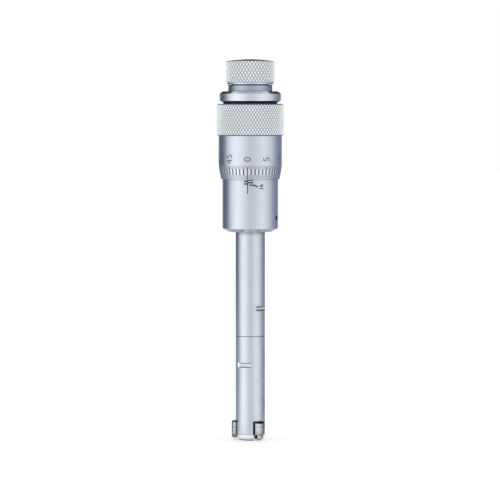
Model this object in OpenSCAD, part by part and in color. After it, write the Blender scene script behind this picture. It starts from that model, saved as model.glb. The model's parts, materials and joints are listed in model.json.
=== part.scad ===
// Three-point inside micrometer for bores of 12 to 16 mm, in millimetres.
// The axis is +Z and the origin is the centre of the end face, with the anvils at the bottom.

/* [Measuring range] */
// Smallest bore that the anvils measure
bore_min = 12; // [11.95:0.05:12.3]
// Largest bore that the anvils measure
bore_max = 16; // [15.5:0.1:16.2]
// Bore that the anvils are set to
reading = 15; // [13:0.25:15.5]
// Radial rise of the cone for each millimetre of its length
cone_slope = 0.25; // [0.24:0.005:0.28]

/* [Head] */
// Outside diameter of the head and the upper tube
tube_d = 11.8; // [11.6:0.1:11.9]
// Height of the joint between the head and the upper tube
head_len = 41.8; // [41.8:0.2:50]
// Thickness of the end cap
cap_t = 2.4; // [2:0.1:2.8]
// Width of the end cap's lower chamfer
cap_chamfer_w = 1.4; // [0.6:0.1:1.4]
// Height of the end cap's lower chamfer
cap_chamfer_h = 1.4; // [0.6:0.1:1.6]
// Distance of the cap screws from the axis
screw_circle_r = 3.55; // [3.5:0.05:3.6]
// Thread radius of a cap screw
cap_screw_r = 0.45; // [0.35:0.05:0.5]
// Head radius of a cap screw
cap_screw_head_r = 0.8; // [0.65:0.05:0.8]
// Length of a cap screw
cap_screw_len = 5; // [4:0.5:7]
// Height of a cap screw's conical head
cap_screw_cone_h = 0.5; // [0.4:0.05:0.7]
// Width of a cap screw's slot
cap_screw_slot_w = 0.24; // [0.2:0.02:0.4]
// Depth of a cap screw's slot
cap_screw_slot_depth = 0.3; // [0.2:0.05:0.4]

/* [Anvils] */
// Direction of the first anvil, counted from +X
anvil_turn = -57; // [-60:1:-50]
// Width of an anvil
anvil_w = 4.4; // [4:0.1:4.6]
// Length of an anvil's block, from its inner end to the measuring face
anvil_len = 4.5; // [4.3:0.1:4.6]
// Height of the anvil block
anvil_h = 5.25; // [4.5:0.05:6]
// Radius of the crowned measuring face
crown_r = 5.6; // [5.2:0.1:5.8]
// Set-back of the measuring face's upper edge
face_setback = 0.35; // [0.2:0.05:0.5]
// Height of that set-back
face_setback_h = 1; // [0.6:0.1:1.4]
// Width of the lip that runs down into the end cap
lip_w = 2.75; // [2.2:0.05:3]
// Radial length of the lip
lip_len = 2.6; // [2.2:0.1:2.7]
// Height of the lip's lower end above the end face
lip_z = 0.9; // [0.6:0.1:1.2]
// Side clearance of the lip in the end cap's slot
lip_gap = 0.4; // [0.1:0.05:0.5]
// Width of the chamfer at the lip's lower end
lip_edge_w = 0.5; // [0.2:0.1:0.8]
// Height of the chamfer at the lip's lower end
lip_edge_h = 0.4; // [0.2:0.1:0.6]
// Depth of the groove between the block and the lip
groove_depth = 0.25; // [0.1:0.05:0.4]
// Height of the groove's floor
groove_h = 0.15; // [0.1:0.05:0.3]
// Width of the stem that meets the cone
stem_w = 2.5; // [2.3:0.05:2.55]
// Thickness of the stem behind the nose
stem_t = 1.4; // [1.3:0.05:1.6]
// Height of the sloped nose that meets the cone
nose_h = 1.7; // [1.4:0.1:2]
// Radius of the hole for an anvil spring
spring_hole_r = 0.8; // [0.75:0.05:0.9]
// Depth of the hole for an anvil spring
spring_hole_depth = 1.1; // [0.9:0.1:1.2]
// Wire radius of an anvil spring
anvil_wire_r = 0.11; // [0.08:0.01:0.14]
// Turns of an anvil spring
anvil_spring_turns = 4; // [3:1:5]

/* [Cone and push rod] */
// Radius of the cone's tip
tip_r = 0.9; // [0.85:0.05:1]
// Length of the cone's guide
guide_len = 4; // [3:0.5:5]
// Diameter of the cone's stem and the push rod
rod_d = 3.4; // [3:0.1:3.6]
// Height of the cone guide bush
cone_bush_h = 2; // [1.5:0.1:2.5]
// Radius of the return spring's chamber
chamber_r = 4; // [3.9:0.05:4.2]
// Length of the return spring at the largest bore
spring_min_len = 4; // [3.8:0.1:4.6]
// Wire radius of the return spring
spring_wire_r = 0.3; // [0.2:0.05:0.32]
// Turns of the return spring
spring_turns = 5; // [4:1:6]
// Radius of the spring collar
spring_collar_r = 3.6; // [3.4:0.05:3.65]
// Height of the spring collar
spring_collar_h = 2; // [1.6:0.1:2]

/* [Upper tube] */
// Visible length of the upper tube
tube_show = 41.7; // [36:0.1:60]
// Radius of the spigot that enters the head
spigot_r = 4.5; // [4.4:0.05:4.7]
// Length of the spigot
spigot_len = 6; // [5:0.5:6]
// Radius of the spigot's bore
spigot_bore_r = 3.8; // [3.75:0.01:3.9]
// Radius of the bore that holds the rod bushes
tube_bore_r = 2.6; // [2.4:0.1:3.2]
// Length of a rod bush
rod_bush_len = 5; // [4:0.5:8]
// Height of a spanner slot
flat_h = 2; // [1.6:0.1:2.6]
// Depth of a spanner slot
flat_depth = 0.8; // [0.5:0.05:0.9]
// Height of the head's spanner slots
head_flat_z = 30.3; // [29:0.1:32]
// Direction of the head's spanner slots
head_flat_turn = -117; // [-180:1:180]
// Height of the upper tube's spanner slots above the joint
tube_flat_up = 11.1; // [8:0.1:20]
// Direction of the upper tube's spanner slots
tube_flat_turn = -39; // [-180:1:180]

/* [Sleeve and barrel] */
// Outside diameter of the graduated sleeve
sleeve_d = 22.3; // [20:0.1:25]
// Length of the sleeve below the thimble
sleeve_show = 21; // [20:0.5:24]
// Width of the sleeve's lower bevel
bevel_w = 2.4; // [1:0.1:3]
// Height of the sleeve's lower bevel
bevel_h = 1.4; // [0.8:0.1:1.8]
// Thickness of the sleeve's wall
sleeve_wall = 1.7; // [1.2:0.1:2]
// Thickness of the sleeve's floor
sleeve_floor = 3; // [2.4:0.1:4]
// Diameter of the spanner hole in the sleeve
spanner_hole_d = 2; // [1.2:0.05:2.2]
// Height of the spanner hole above the sleeve's lower end
spanner_hole_up = 5.6; // [4:0.1:10]
// Direction of the spanner hole
spanner_hole_turn = -20; // [-180:1:180]
// Depth of the barrel's socket for the upper tube
socket_len = 8.5; // [7:0.5:10]
// Width of the slits in the barrel's split nut
slit_w = 0.8; // [0.5:0.1:1.2]
// Wall of the adjusting nut around the split nut
nut_wall = 2.3; // [1.8:0.1:2.8]
// Height of the adjusting nut
nut_h = 4.2; // [3.5:0.1:5]
// Radial gap between the adjusting nut and the sleeve
nut_gap = 0.65; // [0.3:0.05:1]
// Width of the adjusting nut's spanner slots
nut_slot_w = 1.8; // [1.2:0.1:2.4]
// Depth of the adjusting nut's spanner slots
nut_slot_depth = 0.9; // [0.5:0.1:1.2]

/* [Spindle and thimble] */
// Diameter of the spindle's thread
spindle_d = 8; // [7:0.1:8.4]
// Chamfer of the spindle's lower end
spindle_chamfer = 0.4; // [0.2:0.1:0.8]
// Radius of the thrust ball
ball_r = 1.2; // [1:0.05:1.25]
// Length of the thimble
thimble_len = 30; // [29:0.5:34]
// Radial gap between the sleeve and the thimble
thimble_gap = 0.2; // [0.1:0.05:0.3]
// Thickness of the thimble's wall at its lower edge
edge_wall = 0.4; // [0.3:0.05:0.6]
// Radial rise of the thimble's graduated taper
taper_rise = 0.93; // [0.6:0.01:1.2]
// Height of the thimble's graduated taper
taper_h = 5.5; // [4:0.1:7]
// Height by which the knurled band stands out
grip_rise = 0.75; // [0.55:0.05:1.2]
// Height of the knurled band
grip_h = 12.7; // [10:0.1:14]
// Chamfer of the knurled band's edges
grip_chamfer = 0.5; // [0.2:0.05:0.6]
// Number of diamonds around the knurled band
grip_teeth = 67; // [50:1:72]
// Number of half diamonds along the knurled band
grip_rows = 12; // [8:1:14]
// Depth of the knurling on the band and the knob
knurl_depth = 0.4; // [0.2:0.05:0.5]
// Thickness of the thimble's upper wall
thimble_wall = 7; // [6:0.1:8]
// Larger radius of the spindle's taper seat
seat_r = 5; // [4.6:0.1:6]
// Radius of the spindle's stud
stud_r = 3; // [2.6:0.1:3.2]
// Thickness of the washer above the thimble
washer_t = 0.5; // [0.4:0.1:1.2]
// Diameter of the washer above the thimble
washer_d = 21.6; // [18:0.1:23]
// Diameter of the washer's hole
washer_hole_d = 12; // [10:0.5:16]
// Diameter of the collar
collar_d = 24.6; // [23:0.1:26]
// Height of the collar
collar_h = 4.5; // [3.6:0.1:5]
// Width of the collar's upper bevel
collar_bevel_w = 1.4; // [0.5:0.1:2]
// Height of the collar's upper bevel
collar_bevel_h = 1; // [0.5:0.05:1.5]
// Width of the collar's lower chamfer
collar_chamfer_w = 1.4; // [0.2:0.05:1.6]
// Height of the collar's lower chamfer
collar_chamfer_h = 0.7; // [0.3:0.05:0.9]

/* [Ratchet] */
// Diameter of the ratchet's neck
neck_d = 17.56; // [16.6:0.02:18.4]
// Height of the neck
neck_h = 2.8; // [2.4:0.1:3.4]
// Open gap between the neck and the knob
knob_gap = 0.15; // [0.1:0.05:0.5]
// Height of the base's spigot inside the knob
base_spigot_h = 1.5; // [1.2:0.1:1.6]
// Number of ratchet teeth
tooth_count = 18; // [12:1:20]
// Height of a ratchet tooth
tooth_h = 0.5; // [0.3:0.05:0.55]
// Radial length of a ratchet tooth
tooth_len = 2.4; // [1.8:0.1:2.6]
// Diameter of the knob
knob_d = 19.5; // [19.2:0.1:21]
// Height of the knob's side
knob_h = 9.1; // [9:0.1:11]
// Height of the domed top
crown_h = 0.85; // [0.6:0.05:1.2]
// Width of the knob's lower chamfer
knob_chamfer_w = 0.8; // [0.4:0.1:1]
// Height of the knob's lower chamfer
knob_chamfer_h = 1.2; // [0.6:0.1:1.6]
// Number of diamonds around the knob
knob_teeth = 44; // [36:1:48]
// Number of half diamonds along the knob
knob_rows = 7; // [5:1:9]
// Wall left around the knob's bore
knob_wall = 2.3; // [2.1:0.1:2.4]
// Height of the clutch above its teeth
clutch_h = 1.2; // [1:0.1:1.4]
// Width of the clutch's keys
key_w = 1.9; // [1.5:0.1:2.4]
// Height by which the clutch's keys stand out
key_rise = 0.7; // [0.5:0.05:0.9]
// Wire radius of the clutch spring
clutch_wire_r = 0.25; // [0.15:0.05:0.3]
// Distance of the clutch spring's wire from the shoulder
clutch_spring_out = 1.3; // [1:0.1:2]
// Thickness of the web under the screw head
web_t = 0.8; // [0.7:0.1:1]
// Height of the web above the knob's lower end
web_up = 5.9; // [5.8:0.1:6]
// Radius of the shoulder of the ratchet screw
shoulder_r = 2.25; // [2:0.05:2.4]
// Thread radius of the ratchet screw
ratchet_thread_r = 1.5; // [1.2:0.1:1.7]
// Head radius of the ratchet screw
ratchet_head_r = 3.2; // [2.9:0.1:3.6]
// Width of the ratchet screw's slot
screw_slot_w = 0.8; // [0.5:0.1:1.2]
// Depth of the ratchet screw's slot
screw_slot_depth = 0.6; // [0.4:0.1:0.8]
// Depth to which the ratchet screw enters the thimble
screw_reach = 1.5; // [1:0.1:2.5]
// Radius of the knob cap
knob_cap_r = 5.5; // [5:0.1:6]

/* [Fits] */
// Radial clearance of sliding and turning fits
run_gap = 0.03; // [0.02:0.01:0.05]
// Radial clearance of fixed fits
seat_gap = 0.02; // [0.01:0.01:0.03]
// End clearance of moving pieces
end_gap = 0.1; // [0.05:0.01:0.15]
// Small chamfer on the edges of a joint
edge_break = 0.2; // [0.1:0.05:0.3]

/* [Hidden] */
$fn = 96;
eps = 0.01;
// How far a cut runs past a face
past = 1;

tube_r = tube_d / 2;
rod_r = rod_d / 2;
travel_done = (reading - bore_min) / 2 / cone_slope;
travel_left = (bore_max - reading) / 2 / cone_slope;
travel = travel_done + travel_left;
anvil_out = (reading - bore_min) / 2;
anvil_turns = [anvil_turn, anvil_turn - 120, anvil_turn + 120];
cap_screw_sink = 0.05;
cap_screw_room = 0.3;

// Anvils at rest
face_x = reading / 2;
block_z = cap_t + end_gap / 2;
block_top = block_z + anvil_h;
window_top = block_top + end_gap;
jaw_bore_r = 2.9;
jaw_relief = 0.5;
jaw_top = window_top - jaw_relief;

// Cone at rest
tip_floor_gap = 0.4;
tip_z_max = cap_t + tip_floor_gap;
tip_z = tip_z_max + travel_left;
tip_z_min = tip_z + travel_done;
cone_spare = 0.3;
cone_len = travel + nose_h + cone_spare;
cone_r = tip_r + cone_len * cone_slope;
cone_bore_r = cone_r + run_gap;
guide_top = tip_z + cone_len + guide_len;
guide_spare = 0.7;
shoulder_z = guide_top + travel_done + guide_spare;
cone_bush_top = shoulder_z + cone_bush_h;
spring_top = cone_bush_top + spring_min_len + travel_left;
spring_collar_top = spring_top + spring_collar_h;
stem_spare = 1.5;
stem_end = spring_collar_top + stem_spare;
socket_z = head_len - spigot_len;

// Stem of an anvil at rest
stem_top = tip_z_min + nose_h;
nose_top_x = tip_r + (stem_top - tip_z) * cone_slope + run_gap;
stem_in_x = nose_top_x - nose_h * cone_slope;
stem_out_x = nose_top_x + stem_t;
pocket_r = stem_out_x + (bore_max - reading) / 2 + end_gap;
anvil_spring_z = (block_top + stem_top) / 2;
stem_root = 2;

// Upper tube, barrel and spindle at rest
sleeve_z = head_len + tube_show;
sleeve_r = sleeve_d / 2;
sleeve_bore_r = sleeve_r - sleeve_wall;
nut_r = sleeve_bore_r - nut_gap;
split_r = nut_r - nut_wall;
barrel_r = sleeve_bore_r - seat_gap;
barrel_z = sleeve_z + sleeve_floor;
tube_top = barrel_z + socket_len;
step_spare = 1;
bore_step_z = spring_collar_top + travel_done + step_spare;
spindle_r = spindle_d / 2;
ball_room = 2;
spindle_z = tube_top + ball_room + travel_left;
ball_z = spindle_z - ball_r - eps;
cup_z = ball_z - ball_r - eps;
cup_depth = 0.8;
rod_top = cup_z + cup_depth;

// Thimble and collar at rest
edge_z = sleeve_z + sleeve_show;
thimble_top = edge_z + thimble_len;
cavity_r = sleeve_r + thimble_gap;
thimble_edge_r = cavity_r + edge_wall;
thimble_r = thimble_edge_r + taper_rise;
grip_r = thimble_r + grip_rise;
grip_edge = [grip_chamfer + knurl_depth / 2, grip_chamfer];
cavity_top = thimble_top - thimble_wall;
barrel_spare = 2;
barrel_top = cavity_top - travel_left - barrel_spare;
split_spare = 0.4;
split_z = barrel_top - nut_h - split_spare;
slit_root = 0.4;
sleeve_lap = 3;
sleeve_top = split_z + sleeve_lap;
collar_z = thimble_top + washer_t;
collar_top = collar_z + collar_h;
collar_r = collar_d / 2;

// Ratchet
neck_r = neck_d / 2;
knob_z = collar_top + neck_h;
knob_r = knob_d / 2;
knob_top = knob_z + knob_h;
crown_top = knob_top + crown_h;
core_gap = 0.05;
knob_edge = knurl_depth + core_gap;
knob_edge_h = 0.2;
knob_core_r = knob_r - knob_edge - 2 * core_gap;
knurl_root = 1;
dome_r = (knob_r * knob_r + crown_h * crown_h) / (2 * crown_h);
knob_bore_r = knob_r - knob_wall;
base_top = knob_z + base_spigot_h;
tooth_gap = 0.05;
tooth_inset = 0.2;
tooth_space = 0.1;
tooth_root = 0.1;
key_root = 1;
clutch_z = base_top + 2 * tooth_h + tooth_gap;
clutch_top = clutch_z + clutch_h;
web_z = knob_z + web_up;
web_top = web_z + web_t;
screw_head_h = 1.2;
screw_room = 0.5;
head_top = web_top + screw_head_h;
stud_drop = 0.9;
stud_top = knob_z - stud_drop;

// A turned piece from its half section
module turned(points) {
    rotate_extrude() polygon(points);
}

// A ring with square edges
module ring(outer, inner, low, high) {
    turned([[inner, low], [outer, low], [outer, high], [inner, high]]);
}

// A coil spring of round wire between two seats
module coil(mean_r, wire_r, low, high, turns, steps, sides) {
    count = turns * steps;
    rise = high - low - 2 * wire_r;
    wire = [
        for (i = [0 : count], j = [0 : sides - 1])
        let (turn = 360 * i / steps, side = 360 * j / sides, reach = mean_r + wire_r * cos(side))
        [reach * cos(turn), reach * sin(turn), low + wire_r + rise * i / count + wire_r * sin(side)]
    ];
    skin = [
        for (i = [0 : count - 1], j = [0 : sides - 1])
        let (a = i * sides + j, b = i * sides + (j + 1) % sides)
        [a, b, b + sides, a + sides]
    ];
    first = [for (j = [sides - 1 : -1 : 0]) j];
    last = [for (j = [0 : sides - 1]) count * sides + j];
    polyhedron(points = wire, faces = concat([first], skin, [last]), convexity = 8);
}

// A diamond-knurled ring: crossing grooves leave a pyramid in each diamond.
// Each edge is a chamfer given as [width, height].
module knurled_ring(outer, inner, low, high, low_edge, high_edge, teeth, rows) {
    count = 2 * teeth;
    step = (high - low - low_edge[1] - high_edge[1]) / rows;
    heights = concat([low, low], [for (k = [0 : rows]) low + low_edge[1] + k * step], [high, high]);
    function reach(k, j) =
        k == 0 || k == rows + 4 ? inner :
        k == 1 ? outer - low_edge[0] :
        k == rows + 3 ? outer - high_edge[0] :
        outer - ((j + k) % 2) * knurl_depth;
    points = [
        for (k = [0 : rows + 4], j = [0 : count - 1])
        let (turn = 180 * j / teeth)
        [reach(k, j) * cos(turn), reach(k, j) * sin(turn), heights[k]]
    ];
    skin = [
        for (k = [0 : rows + 4], j = [0 : count - 1])
        let (
            up = (k + 1) % (rows + 5),
            a = k * count + j,
            b = k * count + (j + 1) % count,
            c = up * count + (j + 1) % count,
            d = up * count + j
        )
        each ((j + k) % 2 == 1 ? [[a, d, c], [a, c, b]] : [[a, d, b], [b, d, c]])
    ];
    polyhedron(points = points, faces = skin, convexity = 8);
}

// Two opposite spanner slots in a tube
module spanner_slots(middle, turn) {
    for (side = [0, 180])
        rotate(turn + side)
            translate([tube_r - flat_depth, -tube_r, middle - flat_h / 2])
                cube([tube_r, tube_d, flat_h]);
}

// Places three copies between the anvils
module between_anvils(reach) {
    for (turn = anvil_turns)
        rotate(turn + 60)
            translate([reach, 0, 0])
                children();
}

module head_body() {
    color("Gainsboro")
    difference() {
        turned([
            [jaw_bore_r, cap_t], [tube_r - edge_break / 2, cap_t], [tube_r, cap_t + edge_break / 2],
            [tube_r, head_len - edge_break], [tube_r - edge_break, head_len],
            [spigot_r + seat_gap, head_len], [spigot_r + seat_gap, socket_z],
            [chamber_r, socket_z], [chamber_r, shoulder_z],
            [cone_bore_r, shoulder_z], [cone_bore_r, jaw_top], [jaw_bore_r, jaw_top]
        ]);
        for (turn = anvil_turns)
            rotate(turn) {
                translate([0, -anvil_w / 2 - run_gap, cap_t - past])
                    cube([tube_d, anvil_w + 2 * run_gap, window_top - cap_t + past]);
                translate([0, -stem_w / 2 - run_gap, cap_t - past])
                    cube([pocket_r, stem_w + 2 * run_gap, stem_top + end_gap - cap_t + past]);
            }
        between_anvils(screw_circle_r)
            cylinder(r = cap_screw_r + seat_gap, h = cap_screw_len + cap_screw_room);
        spanner_slots(head_flat_z, head_flat_turn);
    }
}

module end_cap() {
    color("Gainsboro")
    difference() {
        turned([
            [0, 0], [tube_r - cap_chamfer_w, 0], [tube_r, cap_chamfer_h],
            [tube_r, cap_t - edge_break / 2], [tube_r - edge_break / 2, cap_t], [0, cap_t]
        ]);
        for (turn = anvil_turns)
            rotate(turn)
                translate([face_x - anvil_out - lip_len - end_gap, -lip_w / 2 - lip_gap, -past])
                    cube([tube_d, lip_w + 2 * lip_gap, cap_t + 2 * past]);
        between_anvils(screw_circle_r) {
            translate([0, 0, -past])
                cylinder(r = cap_screw_r + seat_gap, h = cap_t + 2 * past);
            translate([0, 0, -eps])
                cylinder(r1 = cap_screw_head_r + seat_gap, r2 = cap_screw_r + seat_gap,
                    h = cap_screw_cone_h + 2 * cap_screw_sink);
        }
    }
}

module cap_screws() {
    color("SlateGray")
    between_anvils(screw_circle_r)
    difference() {
        union() {
            translate([0, 0, cap_screw_sink])
                cylinder(r1 = cap_screw_head_r - cap_screw_sink, r2 = cap_screw_r, h = cap_screw_cone_h);
            translate([0, 0, cap_screw_cone_h])
                cylinder(r = cap_screw_r, h = cap_screw_len - cap_screw_cone_h);
        }
        translate([-cap_screw_head_r, -cap_screw_slot_w / 2, -past])
            cube([2 * cap_screw_head_r, cap_screw_slot_w, cap_screw_slot_depth + past]);
    }
}

// Crowned face of an anvil as a turned shape around the crown's own axis
module anvil_face() {
    floor_r = crown_r - groove_depth;
    groove_top = cap_t + groove_h;
    translate([face_x - crown_r, 0, 0])
        turned([
            [0, lip_z], [crown_r - lip_edge_w, lip_z], [crown_r, lip_z + lip_edge_h],
            [crown_r, cap_t - groove_h], [floor_r, cap_t], [floor_r, groove_top],
            [crown_r, groove_top + groove_depth], [crown_r, block_top - face_setback_h],
            [crown_r - face_setback, block_top], [0, block_top]
        ]);
}

module anvil(turn) {
    color("DimGray")
    rotate(turn)
    difference() {
        union() {
            intersection() {
                anvil_face();
                union() {
                    translate([face_x - anvil_len, -anvil_w / 2, block_z])
                        cube([anvil_len + past, anvil_w, anvil_h + past]);
                    translate([face_x - lip_len, -lip_w / 2, 0])
                        cube([lip_len + past, lip_w, block_z + past]);
                }
            }
            translate([0, stem_w / 2, 0])
                rotate([90, 0, 0])
                    linear_extrude(height = stem_w)
                        polygon([
                            [stem_in_x, block_top - stem_root],
                            [face_x - anvil_len + stem_root / 2, block_top - stem_root],
                            [stem_out_x, block_top - stem_root / 2], [stem_out_x, stem_top],
                            [nose_top_x, stem_top], [stem_in_x, stem_top - nose_h]
                        ]);
        }
        translate([stem_out_x - spring_hole_depth, 0, anvil_spring_z])
            rotate([0, 90, 0])
                cylinder(r = spring_hole_r, h = spring_hole_depth + past);
    }
}

module anvil_spring(turn) {
    color("LightSlateGray")
    rotate(turn)
        translate([0, 0, anvil_spring_z])
            rotate([0, 90, 0])
                coil(spring_hole_r - 2 * anvil_wire_r, anvil_wire_r, stem_out_x - spring_hole_depth, pocket_r,
                    anvil_spring_turns, steps = 14, sides = 6);
}

module measuring_cone() {
    color("Silver")
    turned([
        [0, tip_z], [tip_r, tip_z], [cone_r, tip_z + cone_len], [cone_r, guide_top],
        [rod_r, guide_top], [rod_r, stem_end], [0, stem_end]
    ]);
}

module cone_bush() {
    color("Goldenrod")
    ring(chamber_r - seat_gap, rod_r + run_gap, shoulder_z, cone_bush_top);
}

module spring_collar() {
    color("SlateGray")
    ring(spring_collar_r, rod_r + seat_gap, spring_top, spring_collar_top);
}

module return_spring() {
    color("LightSlateGray")
    coil((rod_r + spring_collar_r) / 2, spring_wire_r, cone_bush_top, spring_top,
        spring_turns, steps = 24, sides = 8);
}

module upper_tube() {
    color("Gainsboro")
    difference() {
        turned([
            [spigot_bore_r, socket_z + end_gap], [spigot_r, socket_z + end_gap], [spigot_r, head_len],
            [tube_r - edge_break, head_len], [tube_r, head_len + edge_break],
            [tube_r, tube_top], [tube_bore_r, tube_top],
            [tube_bore_r, bore_step_z], [spigot_bore_r, bore_step_z]
        ]);
        spanner_slots(head_len + tube_flat_up, tube_flat_turn);
    }
}

module rod_bush_lower() {
    color("Goldenrod")
    ring(tube_bore_r - seat_gap, rod_r + run_gap, bore_step_z, bore_step_z + rod_bush_len);
}

module rod_bush_upper() {
    color("Goldenrod")
    ring(tube_bore_r - seat_gap, rod_r + run_gap, tube_top - rod_bush_len, tube_top);
}

module push_rod() {
    color("Silver")
    turned([
        [0, stem_end], [rod_r, stem_end], [rod_r, rod_top],
        [ball_r + seat_gap, rod_top], [ball_r + seat_gap, cup_z], [0, cup_z]
    ]);
}

module thrust_ball() {
    color("Silver")
    translate([0, 0, ball_z])
        sphere(r = ball_r);
}

module barrel() {
    color("DarkGray")
    difference() {
        turned([
            [tube_r + seat_gap, barrel_z], [barrel_r, barrel_z], [barrel_r, split_z],
            [split_r, split_z], [split_r, barrel_top],
            [spindle_r + run_gap, barrel_top], [spindle_r + run_gap, tube_top],
            [tube_r + seat_gap, tube_top]
        ]);
        for (turn = [0, 120, 240])
            rotate(turn)
                translate([0, -slit_w / 2, split_z + slit_root])
                    cube([split_r + past, slit_w, barrel_top]);
    }
}

module adjusting_nut() {
    color("SlateGray")
    difference() {
        ring(nut_r, split_r + seat_gap, split_z + end_gap, split_z + end_gap + nut_h);
        for (turn = [45, 135, 225, 315])
            rotate(turn)
                translate([nut_r - nut_slot_depth, -nut_slot_w / 2, split_z + nut_h / 2])
                    cube([nut_slot_depth + past, nut_slot_w, nut_h]);
    }
}

module sleeve() {
    color("WhiteSmoke")
    difference() {
        turned([
            [tube_r + seat_gap, sleeve_z], [sleeve_r - bevel_w, sleeve_z],
            [sleeve_r, sleeve_z + bevel_h], [sleeve_r, sleeve_top], [sleeve_bore_r, sleeve_top],
            [sleeve_bore_r, barrel_z], [tube_r + seat_gap, barrel_z]
        ]);
        rotate(spanner_hole_turn)
            translate([0, 0, sleeve_z + spanner_hole_up])
                rotate([0, 90, 0])
                    cylinder(d = spanner_hole_d, h = sleeve_d);
    }
}

module spindle() {
    color("Silver")
    difference() {
        turned([
            [0, spindle_z], [spindle_r - spindle_chamfer, spindle_z],
            [spindle_r, spindle_z + spindle_chamfer], [spindle_r, cavity_top],
            [seat_r, cavity_top], [spindle_r, thimble_top],
            [stud_r, thimble_top], [stud_r, stud_top], [0, stud_top]
        ]);
        translate([0, 0, thimble_top - screw_reach - screw_room])
            cylinder(r = ratchet_thread_r + seat_gap, h = stud_top);
    }
}

module thimble() {
    color("WhiteSmoke")
    union() {
        turned([
            [cavity_r, edge_z], [thimble_edge_r, edge_z], [thimble_r, edge_z + taper_h],
            [thimble_r, thimble_top], [spindle_r + seat_gap, thimble_top],
            [seat_r + seat_gap, cavity_top], [cavity_r, cavity_top]
        ]);
        knurled_ring(grip_r, thimble_r - knurl_root, thimble_top - grip_h, thimble_top,
            grip_edge, grip_edge, grip_teeth, grip_rows);
    }
}

module thimble_washer() {
    color("Black")
    ring(washer_d / 2, washer_hole_d / 2, thimble_top, collar_z);
}

module thimble_collar() {
    color("Gainsboro")
    turned([
        [stud_r + seat_gap, collar_z], [collar_r - collar_chamfer_w, collar_z],
        [collar_r, collar_z + collar_chamfer_h], [collar_r, collar_top - collar_bevel_h],
        [collar_r - collar_bevel_w, collar_top], [stud_r + seat_gap, collar_top]
    ]);
}

// Face teeth of the ratchet, rising from height low
module face_teeth(low, up) {
    root_r = knob_bore_r - run_gap - tooth_inset - tooth_len;
    width = 2 * PI * root_r / tooth_count - tooth_space;
    for (i = [0 : tooth_count - 1])
        rotate(360 * i / tooth_count)
            translate([root_r, 0, low])
                rotate([90, 0, 90])
                    linear_extrude(height = tooth_len)
                        polygon([
                            [-width / 2, -tooth_root * up], [width / 2, -tooth_root * up],
                            [width / 2, tooth_h * up], [-width / 2, 0]
                        ]);
}

module ratchet_base() {
    color("Gainsboro")
    union() {
        turned([
            [stud_r + seat_gap, collar_top], [neck_r, collar_top], [neck_r, knob_z - knob_gap],
            [knob_bore_r - run_gap, knob_z - knob_gap], [knob_bore_r - run_gap, base_top],
            [shoulder_r + run_gap, base_top], [shoulder_r + run_gap, stud_top],
            [stud_r + seat_gap, stud_top]
        ]);
        face_teeth(base_top, 1);
    }
}

module ratchet_clutch() {
    color("SlateGray")
    union() {
        ring(knob_bore_r - run_gap, shoulder_r + run_gap, clutch_z, clutch_top);
        for (turn = [0, 120, 240])
            rotate(turn)
                translate([knob_bore_r - key_root, -key_w / 2, clutch_z])
                    cube([key_root + key_rise, key_w, clutch_h]);
        face_teeth(clutch_z, -1);
    }
}

module ratchet_spring() {
    color("LightSlateGray")
    coil(shoulder_r + clutch_spring_out, clutch_wire_r, clutch_top, web_z,
        turns = 2, steps = 24, sides = 8);
}

module ratchet_screw() {
    color("SlateGray")
    difference() {
        turned([
            [0, thimble_top - screw_reach], [ratchet_thread_r, thimble_top - screw_reach],
            [ratchet_thread_r, stud_top], [shoulder_r, stud_top],
            [shoulder_r, web_top + end_gap / 2], [ratchet_head_r, web_top + end_gap / 2],
            [ratchet_head_r, head_top], [0, head_top]
        ]);
        translate([-ratchet_head_r - past, -screw_slot_w / 2, head_top - screw_slot_depth])
            cube([2 * (ratchet_head_r + past), screw_slot_w, screw_slot_depth + past]);
    }
}

// Half section of the knob inside its knurling, closed by the dome
module knob_section(reach, low) {
    intersection() {
        translate([0, low])
            square([reach, crown_top - low]);
        translate([0, crown_top - dome_r])
            circle(r = dome_r, $fn = 1440);
    }
}

module ratchet_knob() {
    color("WhiteSmoke")
    difference() {
        union() {
            rotate_extrude()
                knob_section(knob_core_r, knob_z);
            knurled_ring(knob_r, knob_core_r - knurl_root / 2, knob_z, knob_top,
                [knob_chamfer_w, knob_chamfer_h], [knob_edge, knob_edge_h], knob_teeth, knob_rows);
        }
        turned([
            [0, knob_z - past], [knob_bore_r, knob_z - past], [knob_bore_r, web_z],
            [shoulder_r + run_gap, web_z], [shoulder_r + run_gap, web_top],
            [knob_cap_r + seat_gap, web_top], [knob_cap_r + seat_gap, crown_top + past], [0, crown_top + past]
        ]);
        for (turn = [0, 120, 240])
            rotate(turn)
                translate([knob_bore_r - key_root, -(key_w + end_gap) / 2, knob_z - past])
                    cube([key_root + key_rise + end_gap, key_w + end_gap, web_up + past]);
    }
}

module knob_cap() {
    color("Gainsboro")
    rotate_extrude()
        knob_section(knob_cap_r, head_top + end_gap);
}

head_body();
end_cap();
cap_screws();
cone_bush();
anvil(anvil_turns[0]);  // anvil_a
anvil(anvil_turns[1]);  // anvil_b
anvil(anvil_turns[2]);  // anvil_c
anvil_spring(anvil_turns[0]);  // anvil_spring_a
anvil_spring(anvil_turns[1]);  // anvil_spring_b
anvil_spring(anvil_turns[2]);  // anvil_spring_c
measuring_cone();
spring_collar();
return_spring();
upper_tube();
rod_bush_lower();
rod_bush_upper();
push_rod();
thrust_ball();
barrel();
adjusting_nut();
sleeve();
spindle();
thimble();
thimble_washer();
thimble_collar();
ratchet_base();
ratchet_screw();
ratchet_clutch();
ratchet_spring();
ratchet_knob();
knob_cap();
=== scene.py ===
"""Looks of a three-point inside micrometer: plated and ground metal, its scales, and a white studio."""
import json
import math

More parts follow.
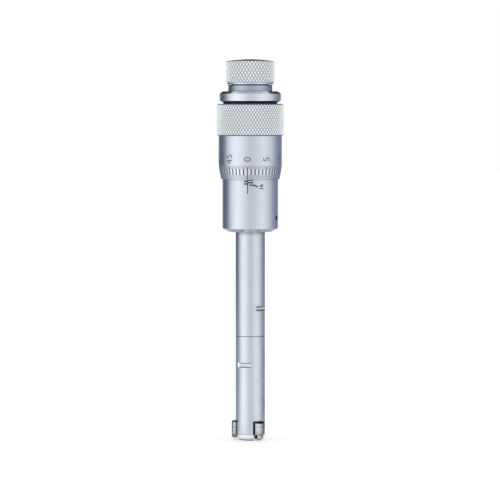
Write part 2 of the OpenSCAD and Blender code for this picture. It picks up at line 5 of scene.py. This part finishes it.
import bmesh
import bpy
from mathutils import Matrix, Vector


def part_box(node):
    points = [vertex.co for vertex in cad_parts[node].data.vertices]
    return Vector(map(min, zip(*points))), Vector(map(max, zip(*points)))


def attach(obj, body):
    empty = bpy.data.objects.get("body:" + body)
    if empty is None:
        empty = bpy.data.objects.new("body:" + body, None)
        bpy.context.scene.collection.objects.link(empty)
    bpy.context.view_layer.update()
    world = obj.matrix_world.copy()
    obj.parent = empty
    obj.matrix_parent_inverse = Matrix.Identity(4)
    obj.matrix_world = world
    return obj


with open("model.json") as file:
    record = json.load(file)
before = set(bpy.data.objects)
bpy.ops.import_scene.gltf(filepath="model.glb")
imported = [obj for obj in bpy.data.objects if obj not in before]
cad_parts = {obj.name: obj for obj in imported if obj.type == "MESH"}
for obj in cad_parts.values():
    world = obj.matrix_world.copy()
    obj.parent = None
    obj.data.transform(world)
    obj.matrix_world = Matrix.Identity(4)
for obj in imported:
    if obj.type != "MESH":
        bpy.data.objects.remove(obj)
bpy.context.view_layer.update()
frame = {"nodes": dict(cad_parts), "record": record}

nodes = frame["nodes"]
scene = bpy.context.scene
MM = 0.001


def outer_radius(node):
    """Half the width of a turned node."""
    low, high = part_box(node)
    return (high[0] - low[0]) / 2


# Sizes of the solids that the finish and the scales follow, in metres
SLEEVE_R = outer_radius("sleeve")
GRIP_R = outer_radius("thimble")
KNOB_R = outer_radius("ratchet_knob")
TUBE_R = outer_radius("upper_tube")
SLEEVE_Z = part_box("sleeve")[0][2]
EDGE_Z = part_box("thimble")[0][2]
CAP_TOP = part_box("end_cap")[1][2]
EDGE_R = SLEEVE_R + 0.6 * MM
THIMBLE_R = GRIP_R - 0.75 * MM
TAPER_H = 5.5 * MM
KNURL_DEPTH = 0.4 * MM
# How far the knob's crests stand above its smooth ends
KNOB_RISE = 0.46 * MM
KNOB_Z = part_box("ratchet_knob")[0][2]
FLAT_H = 2.0 * MM
# How far painted shade reaches into corners on plain pieces, and on the tube under the wide sleeve, where it
# stands for the sleeve's shadow
CORNER_REACH = 0.7 * MM
SLEEVE_SHADE = 3.0 * MM
# For each tube's spanner flats: height, turn from +X, colour (a painted reflection), width and colour of
# the margins of painted shade, and how far painted shade reaches into the tube's corners
FLATS = {
    "head_body": (30.3 * MM, -117.0, (0.46, 0.50, 0.54), 0.40 * MM, (0.16, 0.18, 0.22), CORNER_REACH),
    "upper_tube": (52.9 * MM, -39.0, (0.80, 0.83, 0.84), 0.62 * MM, (0.24, 0.26, 0.28), SLEEVE_SHADE),
}
ANVIL_W = 4.4 * MM
LIP_W = 2.75 * MM
ANVIL_TOP = CAP_TOP + 5.3 * MM
ANVIL_TURNS = {"anvil_a": -57.0, "anvil_b": -177.0, "anvil_c": 63.0}

# Graduation: reading at rest, smallest and largest bore, sleeve length for a millimetre of bore
READING = 15.0
BORES = (12, 16)
AXIAL_PER_BORE = 2.0 * MM
DIVISIONS = 50
ZERO_AZIMUTH = -5.5
# How far the thimble's edge stands above the line that it has just bared
EDGE_CLEAR = 0.14 * MM


# Node building

def new_material(name):
    material = bpy.data.materials.new(name)
    material.use_nodes = True
    return material, material.node_tree, material.node_tree.nodes["Principled BSDF"]


def add(tree, kind, **settings):
    node = tree.nodes.new(kind)
    for key, value in settings.items():
        setattr(node, key, value)
    return node


def feed(tree, socket, value):
    """Links a socket to another, or sets it to a number or colour."""
    if hasattr(value, "links"):
        tree.links.new(value, socket)
    else:
        socket.default_value = value


def math_node(tree, operation, *values):
    node = add(tree, "ShaderNodeMath", operation=operation)
    for socket, value in zip(node.inputs, values):
        feed(tree, socket, value)
    return node.outputs[0]


def ranged(tree, value, low, high, to_low=0.0, to_high=1.0):
    """Maps a value from one range to another and holds it there."""
    node = add(tree, "ShaderNodeMapRange", clamp=True)
    names = ("Value", "From Min", "From Max", "To Min", "To Max")
    for key, number in zip(names, (value, low, high, to_low, to_high)):
        feed(tree, node.inputs[key], number)
    return node.outputs[0]


def mixed(tree, factor, first, second):
    """A colour between two, each a colour or a socket."""
    node = add(tree, "ShaderNodeMix", data_type="RGBA")
    tree.links.new(factor, node.inputs["Factor"])
    sockets = [s for s in node.inputs if s.type == "RGBA"]
    for socket, value in zip(sockets, (first, second)):
        feed(tree, socket, value if hasattr(value, "links") else (*value, 1.0))
    return next(s for s in node.outputs if s.type == "RGBA")


def noise(tree, scale, detail=3.0):
    """Noise over the object's own coordinates, stretched by scale along each axis."""
    place = add(tree, "ShaderNodeTexCoord")
    stretch = add(tree, "ShaderNodeMapping")
    stretch.inputs["Scale"].default_value = scale
    tree.links.new(place.outputs["Object"], stretch.inputs["Vector"])
    texture = add(tree, "ShaderNodeTexNoise")
    texture.inputs["Scale"].default_value = 1.0
    texture.inputs["Detail"].default_value = detail
    tree.links.new(stretch.outputs[0], texture.inputs["Vector"])
    return texture.outputs["Fac"]


def coordinates(tree):
    """X, Y, Z of the shaded point in the part's frame, and its distance from the axis."""
    place = add(tree, "ShaderNodeTexCoord")
    parts = add(tree, "ShaderNodeSeparateXYZ")
    tree.links.new(place.outputs["Object"], parts.inputs[0])
    x, y, z = parts.outputs
    squares = [math_node(tree, "MULTIPLY", v, v) for v in (x, y)]
    reach = math_node(tree, "SQRT", math_node(tree, "ADD", *squares))
    return x, y, z, reach


def turned(tree, x, y, degrees):
    """How far a point lies along and across a direction that is turned from +X."""
    cosine = math.cos(math.radians(degrees))
    sine = math.sin(math.radians(degrees))
    along = [math_node(tree, "MULTIPLY", *pair) for pair in ((x, cosine), (y, sine))]
    across = [math_node(tree, "MULTIPLY", *pair) for pair in ((y, cosine), (x, sine))]
    return math_node(tree, "ADD", *along), math_node(tree, "SUBTRACT", *across)


def repaint(material, mask, colour):
    """Lays a colour over a material where a mask is 1."""
    tree = material.node_tree
    base = tree.nodes["Principled BSDF"].inputs["Base Color"]
    tree.links.new(mixed(tree, mask, base.links[0].from_socket, colour), base)


# Materials

EDGE_ROUND = 0.09 * MM
RINGS = (40.0, 40.0, 5200.0)
CLOUDS = (130.0, 130.0, 70.0)
# The middle part of a noise, where most of its values lie
MIDDLE = (0.3, 0.7)
# Near black, painted where deep shade falls
SHADE_BLACK = (0.012, 0.012, 0.014)
# Shares of a metal's colour where it is stained, worn bright with a painted highlight, and darkened by
# painted shade in corners
STAINED = 0.94
WORN_AND_HIGHLIT = 1.35
SHADED_SHARE = 0.22
GLOSS_SPREAD = 0.02
RELIEF = 0.02 * MM


def worn_edges(tree, normal):
    """1 along the outer edges, where a rounded normal leaves the true one."""
    plain, edge = 0.985, 0.90
    surface = add(tree, "ShaderNodeNewGeometry")
    along = add(tree, "ShaderNodeVectorMath", operation="DOT_PRODUCT")
    tree.links.new(normal, along.inputs[0])
    tree.links.new(surface.outputs["Normal"], along.inputs[1])
    return ranged(tree, along.outputs["Value"], plain, edge)


def dim_corners(tree, distance):
    """1 in inner corners and grooves, where painted shade darkens the colour."""
    clear, closed = 0.80, 0.35
    corner = add(tree, "ShaderNodeAmbientOcclusion", samples=6)
    corner.inputs["Distance"].default_value = distance
    return ranged(tree, corner.outputs["AO"], clear, closed)


def metal(name, colour, rough, grain=RINGS, bump=0.025, corner=CORNER_REACH):
    """Turned metal: fine tool rings, a soft change of gloss and tone, edges brightened by wear and a painted
    highlight, and painted shade in its corners.
    """
    material, tree, shader = new_material(name)
    shader.inputs["Metallic"].default_value = 1.0
    rings = noise(tree, grain, 2.0)
    cloud = noise(tree, CLOUDS, 4.0)
    rounded = add(tree, "ShaderNodeBevel", samples=4)
    rounded.inputs["Radius"].default_value = EDGE_ROUND

    stained = tuple(c * STAINED for c in colour)
    highlit = tuple(min(1.0, c * WORN_AND_HIGHLIT) for c in colour)
    corner_shade = tuple(c * SHADED_SHARE for c in colour)
    tone = mixed(tree, ranged(tree, cloud, *MIDDLE), colour, stained)
    # Wear and a painted highlight: the colour brightens along the outer edges.
    tone = mixed(tree, worn_edges(tree, rounded.outputs[0]), tone, highlit)
    # Painted shade: the colour darkens to a grey share of itself in inner corners and grooves.
    tree.links.new(mixed(tree, dim_corners(tree, corner), tone, corner_shade), shader.inputs["Base Color"])

    fine = ranged(tree, rings, *MIDDLE, -GLOSS_SPREAD, GLOSS_SPREAD)
    broad = ranged(tree, cloud, *MIDDLE, rough - GLOSS_SPREAD, rough + GLOSS_SPREAD)
    tree.links.new(math_node(tree, "ADD", fine, broad), shader.inputs["Roughness"])

    relief = add(tree, "ShaderNodeBump")
    relief.inputs["Strength"].default_value = bump
    relief.inputs["Distance"].default_value = RELIEF
    tree.links.new(rings, relief.inputs["Height"])
    tree.links.new(rounded.outputs[0], relief.inputs["Normal"])
    tree.links.new(relief.outputs[0], shader.inputs["Normal"])
    return material


def plated(name, corner=CORNER_REACH):
    """Satin chrome plate."""
    return metal(name, (0.56, 0.60, 0.645), 0.23, corner=corner)


def knurled(name, crest_r, smooth_r):
    """Plated metal whose knurling is frosted and bright on its crests, with painted shade dark in its
    grooves.
    """
    material = plated(name)
    tree = material.node_tree
    shader = tree.nodes["Principled BSDF"]
    reach = coordinates(tree)[3]
    # The groove colour is painted shade; the crest colour is the frosted finish.
    groove, crest = (0.06, 0.08, 0.13), (0.94, 0.98, 1.0)
    crest_h = 0.27 * MM
    skin_low, skin_high = 0.02 * MM, 0.08 * MM
    frosted_metallic = 0.1
    frosted_rougher = 0.12
    height = ranged(tree, reach, crest_r - KNURL_DEPTH, crest_r - crest_h)
    on_knurl = ranged(tree, reach, smooth_r + skin_low, smooth_r + skin_high)
    repaint(material, on_knurl, mixed(tree, height, groove, crest))
    tree.links.new(ranged(tree, on_knurl, 0.0, 1.0, 1.0, frosted_metallic), shader.inputs["Metallic"])
    gloss = shader.inputs["Roughness"]
    rougher = math_node(tree, "MULTIPLY", on_knurl, frosted_rougher)
    tree.links.new(math_node(tree, "ADD", gloss.links[0].from_socket, rougher), gloss)
    return material


def tapered_thimble(name):
    """Knurled thimble whose graduated taper is ground a little darker than the plate."""
    material = knurled(name, GRIP_R, THIMBLE_R)
    tree = material.node_tree
    _, _, z, reach = coordinates(tree)
    bore_r = SLEEVE_R + 0.3 * MM
    share = 0.8
    below = math_node(tree, "LESS_THAN", z, EDGE_Z + TAPER_H)
    outside = math_node(tree, "GREATER_THAN", reach, bore_r)
    on_taper = math_node(tree, "MULTIPLY", below, outside)
    repaint(material, math_node(tree, "MULTIPLY", on_taper, share), (0.40, 0.43, 0.47))
    return material


def shaded_neck(name):
    """Dull plated neck, with a painted shadow of the knob in near black along its top."""
    material = metal(name, (0.36, 0.40, 0.465), 0.34)
    tree = material.node_tree
    z = coordinates(tree)[2]
    # Painted shadow of the knob along the top of the neck.
    shade_z = KNOB_Z - 0.55 * MM
    repaint(material, math_node(tree, "GREATER_THAN", z, shade_z), (0.06, 0.065, 0.08))
    return material


def flatted(name, middle, turn, colour, margin_w, margin_shade_colour, corner):
    """Plated tube with spanner flats whose colour is a painted reflection, with painted shade along the top
    and bottom of each and a painted highlight at one end.
    """
    material = plated(name, corner)
    tree = material.node_tree
    x, y, z, reach = coordinates(tree)
    tolerance = 0.02 * MM
    glint_from, glint_to = -2.1 * MM, -2.8 * MM
    off = math_node(tree, "ABSOLUTE", math_node(tree, "SUBTRACT", z, middle))
    level = math_node(tree, "LESS_THAN", off, FLAT_H / 2 + tolerance)
    sunk = math_node(tree, "LESS_THAN", reach, TUBE_R - tolerance)
    on_flat = math_node(tree, "MULTIPLY", level, sunk)
    # The flat's colour is a painted reflection.
    repaint(material, on_flat, colour)
    # Painted shade along the top and bottom of the flat.
    shade_margin = math_node(tree, "GREATER_THAN", off, FLAT_H / 2 - margin_w)
    repaint(material, math_node(tree, "MULTIPLY", on_flat, shade_margin), margin_shade_colour)
    # Painted highlight at one end of the flat.
    painted_glint = ranged(tree, turned(tree, x, y, turn)[1], glint_from, glint_to)
    repaint(material, math_node(tree, "MULTIPLY", on_flat, painted_glint), (0.80, 0.83, 0.88))
    return material


def ground_anvil(name, turn):
    """Ground steel with strokes, painted shade across its face, painted black shadow on its top and one
    flank, and painted shadow at the other flank's root.
    """
    material = metal(name, (0.64, 0.66, 0.68), 0.28, (300.0, 300.0, 2000.0), 0.35)
    tree = material.node_tree
    x, y, z, reach = coordinates(tree)
    along, across = turned(tree, x, y, turn)
    near = 0.1 * MM

    stroke_from, stroke_to, stroke_share = 0.40, 0.62, 0.6
    strokes = ranged(tree, noise(tree, (60.0, 60.0, 1500.0), 2.0), stroke_from, stroke_to)
    repaint(material, math_node(tree, "MULTIPLY", strokes, stroke_share), (0.26, 0.27, 0.28))

    # Painted shade: the face darkens across towards one side.
    face_shade_from, face_shade_to, face_shade_share = -0.5 * MM, 1.6 * MM, 0.92
    on_face = math_node(tree, "LESS_THAN", across, ANVIL_W / 2 - near / 2)
    face_shade = ranged(tree, across, face_shade_from, face_shade_to, 0.0, face_shade_share)
    repaint(material, math_node(tree, "MULTIPLY", on_face, face_shade), (0.12, 0.12, 0.15))

    # Painted shadow where the other flank meets the tube.
    root_shadow = math_node(tree, "LESS_THAN", along, TUBE_R + near)
    light_flank = math_node(tree, "GREATER_THAN", across, LIP_W / 2 + near)
    repaint(material, math_node(tree, "MULTIPLY", root_shadow, light_flank), (0.10, 0.11, 0.14))

    # Painted shadow: a black crescent along the top and black on one flank, outside the tube.
    crescent_h = 0.8 * MM
    crescent_bend = 0.07 / MM
    flank_skin = 0.04 * MM
    bend = math_node(tree, "MULTIPLY", math_node(tree, "MULTIPLY", across, across), crescent_bend)
    level = math_node(tree, "SUBTRACT", z, bend)
    crescent = math_node(tree, "GREATER_THAN", level, ANVIL_TOP - crescent_h)
    on_block = math_node(tree, "GREATER_THAN", z, CAP_TOP)
    half_width = ranged(tree, on_block, 0.0, 1.0, LIP_W / 2, ANVIL_W / 2)
    flank = math_node(tree, "LESS_THAN", math_node(tree, "ADD", across, half_width), flank_skin)
    outside = math_node(tree, "GREATER_THAN", reach, TUBE_R - near)
    dark = math_node(tree, "MAXIMUM", crescent, flank)
    repaint(material, math_node(tree, "MULTIPLY", dark, outside), SHADE_BLACK)
    return material


def bored_plate(name):
    """Plated sleeve, with painted shade in black inside its bore and its spanner hole."""
    material = plated(name)
    tree = material.node_tree
    _, _, z, reach = coordinates(tree)
    skin_high, skin_low = 0.08 * MM, 0.12 * MM
    bevel_top = SLEEVE_Z + 2.0 * MM
    # Painted shade inside the bore and the spanner hole.
    inside = ranged(tree, reach, SLEEVE_R - skin_high, SLEEVE_R - skin_low)
    above_bevel = math_node(tree, "GREATER_THAN", z, bevel_top)
    repaint(material, math_node(tree, "MULTIPLY", inside, above_bevel), SHADE_BLACK)
    return material


def mottled(name, dark, light, scale, rough):
    """A matt surface with a fine change of tone."""
    material, tree, shader = new_material(name)
    low, high = 0.35, 0.75
    shade = mixed(tree, ranged(tree, noise(tree, (scale,) * 3), low, high), dark, light)
    tree.links.new(shade, shader.inputs["Base Color"])
    shader.inputs["Roughness"].default_value = rough
    return material


looks = {
    "satin_chrome": plated("satin_chrome"),
    "ground_steel": metal("ground_steel", (0.50, 0.53, 0.56), 0.24, (60.0, 60.0, 7000.0), 0.05),
    "dark_steel": metal("dark_steel", (0.06, 0.06, 0.07), 0.38),
    "spring_steel": metal("spring_steel", (0.42, 0.44, 0.46), 0.30, (700.0, 700.0, 700.0)),
    "brass": metal("brass", (0.70, 0.50, 0.20), 0.28),
    "black_rubber": mottled("black_rubber", (0.004, 0.004, 0.005), (0.012, 0.012, 0.013), 900.0, 0.7),
}
special = {
    "thimble": tapered_thimble("thimble_plate"),
    "ratchet_knob": knurled("knob_plate", KNOB_R, KNOB_R - KNOB_RISE),
    "ratchet_base": shaded_neck("neck_plate"),
    "sleeve": bored_plate("sleeve_plate"),
    "barrel": looks["dark_steel"],
    # Painted light: the end cap is given a lighter copy of the plate.
    "end_cap": metal("cap_plate", (0.82, 0.84, 0.88), 0.30),
    "thimble_collar": metal("collar_plate", (0.61, 0.655, 0.70), 0.16, (40.0, 40.0, 2600.0), 0.12),
}
for anvil, turn in ANVIL_TURNS.items():
    special[anvil] = ground_anvil(anvil + "_steel", turn)
for tube, finish in FLATS.items():
    special[tube] = flatted(tube + "_plate", *finish)
slots = {part["node"]: part["material_slot"] for part in frame["record"]["subparts"]}
for name, piece in nodes.items():
    piece.data.materials.clear()
    piece.data.materials.append(special.get(name, looks[slots[name]]))


# Scales

LIFT = 0.012 * MM
LINE_W = 0.30 * MM
DATUM_W = 0.36 * MM
SLEEVE_LINE_W = 0.58 * MM
LAND_W = 0.62 * MM
ink = mottled("engraved_black", (0.012, 0.012, 0.016), (0.04, 0.04, 0.045), 2500.0, 0.6)
etched = mottled("etched_grey", (0.10, 0.10, 0.15), (0.20, 0.20, 0.26), 2500.0, 0.5)
land = metal("bright_land", (0.72, 0.75, 0.78), 0.30)


def thimble_radius(z):
    """Radius of the thimble's outside at a height."""
    share = min(max((z - EDGE_Z) / TAPER_H, 0.0), 1.0)
    return EDGE_R + (THIMBLE_R - EDGE_R) * share


def sleeve_radius(_):
    return SLEEVE_R


def tube_radius(_):
    return TUBE_R


def on_surface(azimuth, z, radius, lift=LIFT):
    """A point at an azimuth in radians, counted from the front towards the right."""
    r = radius(z) + lift
    return Vector((r * math.sin(azimuth), -r * math.cos(azimuth), z))


def stroke(mesh, radius, start, end, width=LINE_W, lift=LIFT):
    """A line on a turned surface between two points, each an azimuth in degrees and a height."""
    steps = 6
    a, b = (Vector((math.radians(p[0]) * radius(p[1]), p[1])) for p in (start, end))
    side = Vector((a.y - b.y, b.x - a.x)).normalized() * width / 2
    pairs = []
    for i in range(steps + 1):
        middle = a.lerp(b, i / steps)
        pairs.append([
            mesh.verts.new(on_surface(point.x / radius(point.y), point.y, radius, lift))
            for point in (middle + side, middle - side)
        ])
    for (a1, a2), (b1, b2) in zip(pairs, pairs[1:]):
        mesh.faces.new((a1, a2, b2, b1))


def flat_text(text, weight):
    """The outline of a text as a flat mesh, one unit high."""
    curve = bpy.data.curves.new("numeral", "FONT")
    curve.body = text
    curve.resolution_u = 4
    curve.offset = weight
    holder = bpy.data.objects.new("numeral", curve)
    flat = bmesh.new()
    flat.from_mesh(holder.to_mesh())
    bpy.data.objects.remove(holder)
    bpy.data.curves.remove(curve)
    return flat


def numeral(mesh, text, radius, azimuth, z, height, weight=0.0):
    """A text that reads upwards, with the tops of its digits to the left, wrapped on a turned surface."""
    flat = flat_text(text, weight)
    low = Vector([min(v.co[i] for v in flat.verts) for i in (0, 1)])
    high = Vector([max(v.co[i] for v in flat.verts) for i in (0, 1)])
    scale = height / (high.y - low.y)
    cuts = 10
    for i in range(1, cuts):
        level = low.y + (high.y - low.y) * i / cuts
        geometry = flat.verts[:] + flat.edges[:] + flat.faces[:]
        bmesh.ops.bisect_plane(flat, geom=geometry, plane_co=(0, level, 0), plane_no=(0, 1, 0))
    moved = {}
    for v in flat.verts:
        along, up = (v.co.xy - (low + high) / 2) * scale
        place = on_surface(math.radians(azimuth) - up / radius(z + along), z + along, radius)
        moved[v] = mesh.verts.new(place)
    for face in flat.faces:
        mesh.faces.new([moved[v] for v in face.verts])
    flat.free()


def place_marks(name, mesh, body, material):
    """Turns a mesh of marks into a piece that rides on a body, with every face outwards."""
    for face in mesh.faces:
        face.normal_update()
        middle = face.calc_center_median()
        if face.normal.x * middle.x + face.normal.y * middle.y < 0:
            face.normal_flip()
    data = bpy.data.meshes.new(name)
    mesh.to_mesh(data)
    mesh.free()
    data.materials.append(material)
    piece = bpy.data.objects.new(name, data)
    scene.collection.objects.link(piece)
    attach(piece, body)


def thimble_scale():
    """Fifty cut lines on the taper with bright land between them, and every fifth one numbered."""
    marks = bmesh.new()
    lands = bmesh.new()
    numbers = bmesh.new()
    pitch = 360.0 / DIVISIONS
    zero_foot = EDGE_Z + 0.1 * MM
    foot = EDGE_Z + 1.9 * MM
    short = EDGE_Z + 4.2 * MM
    tall = EDGE_Z + 4.9 * MM
    number_z = EDGE_Z + 8.1 * MM
    number_h = 2.9 * MM
    for division in range(DIVISIONS):
        azimuth = ZERO_AZIMUTH + pitch * division
        numbered = division % 5 == 0
        start = zero_foot if division == 0 else foot
        stroke(marks, thimble_radius, (azimuth, start), (azimuth, tall if numbered else short))
        between = azimuth + pitch / 2
        stroke(lands, thimble_radius, (between, foot), (between, short), LAND_W, LIFT / 2)
        if numbered:
            numeral(numbers, str(division), thimble_radius, azimuth, number_z, number_h)
    place_marks("thimble_scale", marks, "thimble", ink)
    place_marks("thimble_numbers", numbers, "thimble", etched)
    place_marks("thimble_line_lands", lands, "thimble", land)


def sleeve_scale():
    """A datum line with a line for every quarter millimetre of bore, numbered every second millimetre."""
    marks = bmesh.new()
    datum_below, datum_above = 3.5 * MM, 0.8 * MM
    # Ends of the lines in degrees from the datum line
    numbered_start, numbered_end = 3.5, 13.0
    right_end, left_end = 12.0, -7.5
    # A numbered line's bent end, and its number past that: degrees across, and drop
    bend_across, bend_drop = 8.0, 0.7 * MM
    number_across, number_drop = 7.5, 0.6 * MM
    number_h = 1.8 * MM
    number_weight = 0.03

    def height(bore):
        return EDGE_Z - EDGE_CLEAR - (bore - READING) * AXIAL_PER_BORE

    smallest, largest = BORES
    ends = (height(largest) - datum_below, height(smallest) + datum_above)
    stroke(marks, sleeve_radius, *((ZERO_AZIMUTH, z) for z in ends), DATUM_W)
    for quarter in range((largest - smallest) * 4 + 1):
        z = height(smallest + quarter / 4)
        start = ZERO_AZIMUTH
        if quarter % 8 == 0:
            start += numbered_start
            reach = ZERO_AZIMUTH + numbered_end
            bend = (reach + bend_across, z - bend_drop)
            stroke(marks, sleeve_radius, (reach, z), bend, SLEEVE_LINE_W)
            label = str(smallest + quarter // 4)
            place = (bend[0] + number_across, z - number_drop)
            numeral(marks, label, sleeve_radius, *place, number_h, number_weight)
        else:
            reach = ZERO_AZIMUTH + (right_end if quarter % 2 == 0 else left_end)
        stroke(marks, sleeve_radius, (start, z), (reach, z), SLEEVE_LINE_W)
    place_marks("sleeve_scale", marks, "head", ink)


def range_marks():
    """The measuring range and the smallest step, etched along the right side of the head."""
    marks = bmesh.new()
    azimuth = 68.0
    letter_h = 2.0 * MM
    for text, z in (("%d-%d mm" % BORES, 31.0 * MM), ("0.005 mm", 17.0 * MM)):
        numeral(marks, text, tube_radius, azimuth, z, letter_h)
    place_marks("range_marks", marks, "head", etched)


thimble_scale()
sleeve_scale()
range_marks()


# Studio

TENT_R = 0.70
TENT_H = 0.90
TABLE_R = 0.03
# Brightness of the tent by azimuth from the front: a soft box at either side, dark flags behind them
TENT = (
    (-180, 0.95), (-162, 0.60), (-145, 0.18), (-122, 0.17), (-106, 0.33), (-89, 0.95), (-70, 1.36),
    (-50, 1.50), (-25, 1.18), (-4, 0.92), (6, 0.92), (25, 1.06), (47, 1.26), (68, 1.10), (85, 0.89),
    (105, 0.50), (122, 0.36), (145, 0.28), (162, 0.60), (180, 0.95),
)
BRIGHTEST = 1.6
TABLE_LEAST = 0.52
# Grey of the floor, and the glow that turns it white to the camera and in reflections
FLOOR_GREY = 0.60
FLOOR_GLOW = 0.42


def tinted(level):
    """White light of a level, bluer as it is dimmer."""
    white_level, blue_level = 0.95, 0.25
    less_red, more_blue = 0.15, 0.35
    blue = min(max((white_level - level) / (white_level - blue_level), 0.0), 1.0)
    shares = (1.0 - less_red * blue, 1.0, 1.0 + more_blue * blue)
    return tuple(level * share / BRIGHTEST for share in shares)


def stage_piece(name, points, faces, material, reflected_only=True):
    """A studio piece; one that is only reflected neither shows nor casts a shadow."""
    data = bpy.data.meshes.new(name)
    data.from_pydata(points, [], faces)
    data.materials.append(material)
    piece = bpy.data.objects.new(name, data)
    if reflected_only:
        piece.visible_camera = False
        piece.visible_diffuse = False
        piece.visible_transmission = False
        piece.visible_shadow = False
    scene.collection.objects.link(piece)


def glowing(name, colour):
    """A surface that gives off light and reflects none."""
    material, tree, shader = new_material(name)
    shader.inputs["Base Color"].default_value = (0.0, 0.0, 0.0, 1.0)
    shader.inputs["Specular IOR Level"].default_value = 0.0
    shader.inputs["Emission Color"].default_value = (*colour, 1.0)
    shader.inputs["Emission Strength"].default_value = BRIGHTEST
    return material, tree, shader


def band(name, start, end, first, second, material, steps):
    """A band around the axis between two azimuths in degrees, with a radius and height for either rim."""
    points = []
    for i in range(steps + 1):
        angle = math.radians(start + (end - start) * i / steps)
        points += [(r * math.sin(angle), -r * math.cos(angle), z) for r, z in (first, second)]
    faces = [(2 * i, 2 * i + 2, 2 * i + 3, 2 * i + 1) for i in range(steps)]
    stage_piece(name, points, faces, material)


def tent_light(name, least):
    """Light as bright as TENT says for the azimuth, and never dimmer than the least level."""
    material, tree, shader = glowing(name, (1.0, 1.0, 1.0))
    x, y, _, _ = coordinates(tree)
    turn = math_node(tree, "ARCTAN2", x, math_node(tree, "MULTIPLY", y, -1.0))
    ramp = add(tree, "ShaderNodeValToRGB")
    tree.links.new(ranged(tree, turn, -math.pi, math.pi), ramp.inputs["Fac"])
    stops = ramp.color_ramp.elements
    while len(stops) < len(TENT):
        stops.new(0.5)
    for stop, (azimuth, level) in zip(stops, TENT):
        stop.position = (azimuth + 180) / 360
        stop.color = (*tinted(max(level, least)), 1.0)
    tree.links.new(ramp.outputs["Color"], shader.inputs["Emission Color"])
    return material


def light_tent():
    """Walls and a table of light that show only in reflections."""
    lift = 0.5 * MM
    steps = 96
    wall = tent_light("tent_wall", 0.0)
    table = tent_light("tent_floor", TABLE_LEAST)
    band("light_tent", -180, 180, (TENT_R, lift), (TENT_R, TENT_H), wall, steps)
    band("tent_table", -180, 180, (TABLE_R, lift), (TENT_R, lift), table, steps)


def back_flag():
    """A dark card behind the knob's dome."""
    dark = glowing("flag_dark", (0.03, 0.03, 0.03))[0]
    reach = TENT_R - 0.05
    low, high = 0.17, 0.85
    steps = 20
    band("back_flag", 130, 230, (reach, low), (reach, high), dark, steps)


def floor():
    """A pale floor that shows white and keeps the shadow."""
    material, tree, shader = new_material("floor_white")
    shader.inputs["Base Color"].default_value = (FLOOR_GREY, FLOOR_GREY, FLOOR_GREY, 1.0)
    shader.inputs["Roughness"].default_value = 0.9
    shader.inputs["Emission Color"].default_value = (1.0, 1.0, 1.0, 1.0)
    ray = add(tree, "ShaderNodeLightPath")
    seen = math_node(tree, "MAXIMUM", ray.outputs["Is Camera Ray"], ray.outputs["Is Glossy Ray"])
    seen = math_node(tree, "MAXIMUM", seen, ray.outputs["Is Transmission Ray"])
    tree.links.new(math_node(tree, "MULTIPLY", seen, FLOOR_GLOW), shader.inputs["Emission Strength"])
    half = 4.0
    points = [(-half, -half, 0.0), (half, -half, 0.0), (half, half, 0.0), (-half, half, 0.0)]
    stage_piece("floor", points, [(0, 1, 2, 3)], material, reflected_only=False)


def white_world():
    """Even white light from all sides."""
    world = bpy.data.worlds.new("studio")
    world.use_nodes = True
    back = world.node_tree.nodes["Background"]
    back.inputs["Color"].default_value = (1.0, 1.0, 1.0, 1.0)
    back.inputs["Strength"].default_value = 1.0
    scene.world = world


def camera():
    """The photograph's view: its frame covers 200 mm at the axis, from a little above the middle."""
    frame_w = 200.0 * MM
    aside = -0.12 * MM
    aim = Vector((aside, 0.0, 76.1 * MM))
    place = Vector((aside, -1.175, 138.0 * MM))
    data = bpy.data.cameras.new("camera")
    data.sensor_width = 36.0
    data.lens = data.sensor_width * (aim - place).length / frame_w
    data.dof.use_dof = False
    eye = bpy.data.objects.new("camera", data)
    eye.location = place
    eye.rotation_euler = (aim - place).to_track_quat("-Z", "Y").to_euler()
    scene.collection.objects.link(eye)
    scene.camera = eye


light_tent()
back_flag()
floor()
white_world()
camera()
scene.view_settings.view_transform = "Standard"
